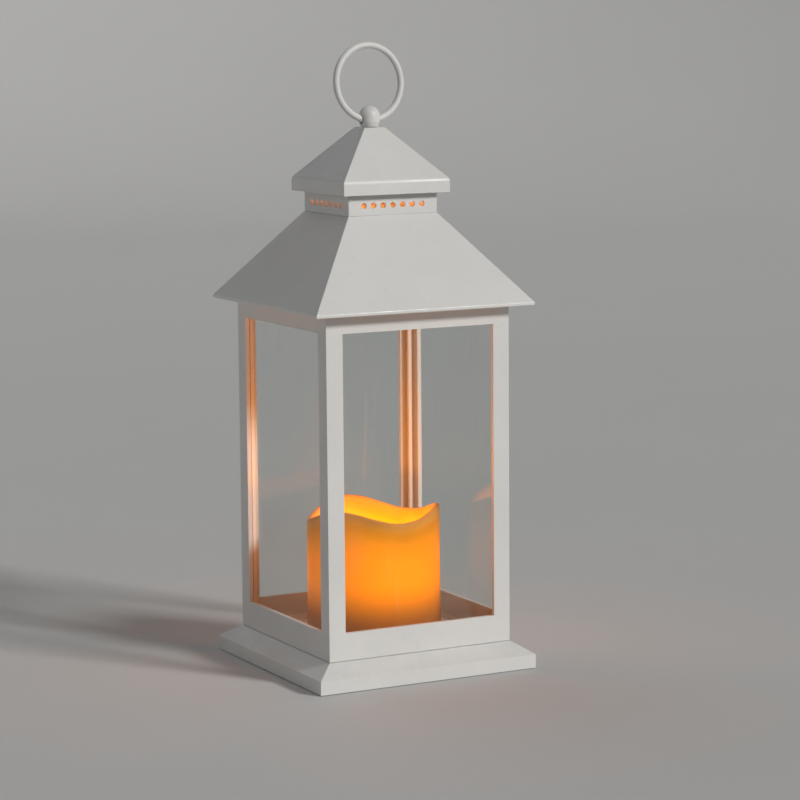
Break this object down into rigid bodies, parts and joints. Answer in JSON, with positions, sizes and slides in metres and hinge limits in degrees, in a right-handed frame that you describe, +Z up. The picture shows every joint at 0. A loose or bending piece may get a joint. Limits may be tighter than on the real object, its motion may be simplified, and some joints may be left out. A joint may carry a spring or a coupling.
{
  "type": "candle lantern",
  "caption": "Square plastic lantern with clear panes, a flared two-tier roof with vent holes, a swinging hanging ring and a battery candle lit from inside.",
  "frame": {"origin": "middle of the square footprint, on the surface the feet stand on", "axes": "+Z up; -Y towards the wide face nearer the camera in the picture; +X to that face's right"},
  "size_m": [0.14, 0.14, 0.3642],
  "materials": {
    "white_plastic": "satin moulded plastic, slightly uneven",
    "clear_plastic": "clear plastic sheet",
    "candle_wax": "translucent wax-like shell",
    "led_lens": "clear amber lens",
    "dark_plastic": "fine texture",
    "cell_sleeve": "plain printed film, no marks",
    "circuit_board": "lacquered board",
    "rubber": "matt",
    "steel": "bright zinc plate"
  },
  "bodies": {
    "housing": {"plinth": "white_plastic", "lantern_body": "white_plastic", "roof": "white_plastic", "vent_collar": "white_plastic", "cap": "white_plastic", "knob": "white_plastic", "bottom_cover": "white_plastic", "led_post": "white_plastic", "pane_front": "clear_plastic", "pane_right": "clear_plastic", "pane_back": "clear_plastic", "pane_left": "clear_plastic", "candle_shell": "candle_wax", "led": "led_lens", "battery_box": "dark_plastic", "switch_body": "dark_plastic", "battery_1": "cell_sleeve", "battery_2": "cell_sleeve", "circuit_board": "circuit_board", "foot_1": "rubber", "foot_2": "rubber", "foot_3": "rubber", "foot_4": "rubber", "contact_plate": "steel", "contact_terminal_1": "steel", "contact_terminal_2": "steel", "contact_spring_1": "steel", "contact_spring_2": "steel", "knob_nut": "steel", "base_screw_1": "steel", "base_screw_2": "steel", "base_screw_3": "steel", "base_screw_4": "steel", "roof_screw_1": "steel", "roof_screw_2": "steel", "roof_screw_3": "steel", "roof_screw_4": "steel", "cap_screw_1": "steel", "cap_screw_2": "steel", "box_screw_1": "steel", "box_screw_2": "steel"},
    "ring": {"ring": "white_plastic"},
    "switch_slider": {"switch_slider": "dark_plastic"},
    "battery_door": {"battery_door": "white_plastic"}
  },
  "joints": [
    {"name": "ring_swing", "type": "hinge", "parent": "housing", "child": "ring", "pos_m": [0, 0, 0.3196], "axis": [1, 0, 0], "range_deg": [-122, 130]},
    {"name": "switch_slide", "type": "slide", "parent": "housing", "child": "switch_slider", "axis": [1, 0, 0], "range_m": [0, 0.004]},
    {"name": "battery_door_lift_off", "type": "slide", "parent": "housing", "child": "battery_door", "axis": [0, 0, -1], "range_m": [0, 0.025]}
  ]
}
